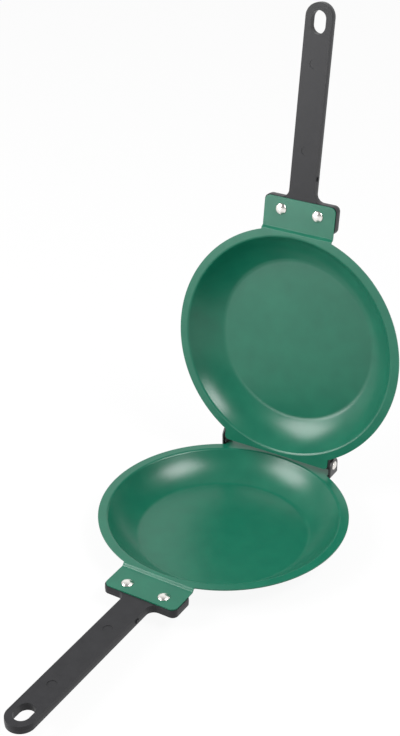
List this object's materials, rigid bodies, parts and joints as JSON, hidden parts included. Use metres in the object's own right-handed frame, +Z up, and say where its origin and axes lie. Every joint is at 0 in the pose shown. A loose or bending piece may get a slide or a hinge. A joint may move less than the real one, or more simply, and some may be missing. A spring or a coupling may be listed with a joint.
{
  "type": "double sided flip pan",
  "caption": "Hinged pair of shallow round non-stick pans with flat handles, shown open; the upper pan folds down onto the lower one to turn the food.",
  "frame": {"origin": "centre of the lower pan's flat underside, on the surface it stands on", "axes": "+Z up, +Y from the lower pan's centre towards the hinge, the lower handle points along -Y, +X to the right"},
  "size_m": [0.19, 0.4051, 0.3775],
  "materials": {
    "green_ceramic_coat": "satin green non-stick coating on pressed sheet",
    "black_phenolic": "matt moulded thermoset",
    "nickel_rivet": "bright nickel plate",
    "zinc_washer": "dull zinc plate",
    "black_hinge_paint": "satin black paint on pressed steel"
  },
  "bodies": {
    "lower": {"lower_pan": "green_ceramic_coat", "lower_handle": "black_phenolic", "lower_handle_rivet_left": "nickel_rivet", "lower_handle_washer_left": "zinc_washer", "lower_handle_rivet_right": "nickel_rivet", "lower_handle_washer_right": "zinc_washer", "lower_hinge_bracket_left": "black_hinge_paint", "hinge_pin_left": "nickel_rivet", "hinge_washer_left": "zinc_washer", "lower_hinge_bracket_right": "black_hinge_paint", "hinge_pin_right": "nickel_rivet", "hinge_washer_right": "zinc_washer"},
    "upper": {"upper_pan": "green_ceramic_coat", "upper_handle": "black_phenolic", "upper_handle_rivet_left": "nickel_rivet", "upper_handle_washer_left": "zinc_washer", "upper_handle_rivet_right": "nickel_rivet", "upper_handle_washer_right": "zinc_washer", "upper_hinge_bracket_left": "black_hinge_paint", "upper_hinge_bracket_right": "black_hinge_paint"}
  },
  "joints": [
    {"name": "pan_hinge", "type": "hinge", "parent": "lower", "child": "upper", "pos_m": [0, 0.0892, 0.0279], "axis": [1, 0, 0], "range_deg": [0, 98.2]}
  ]
}
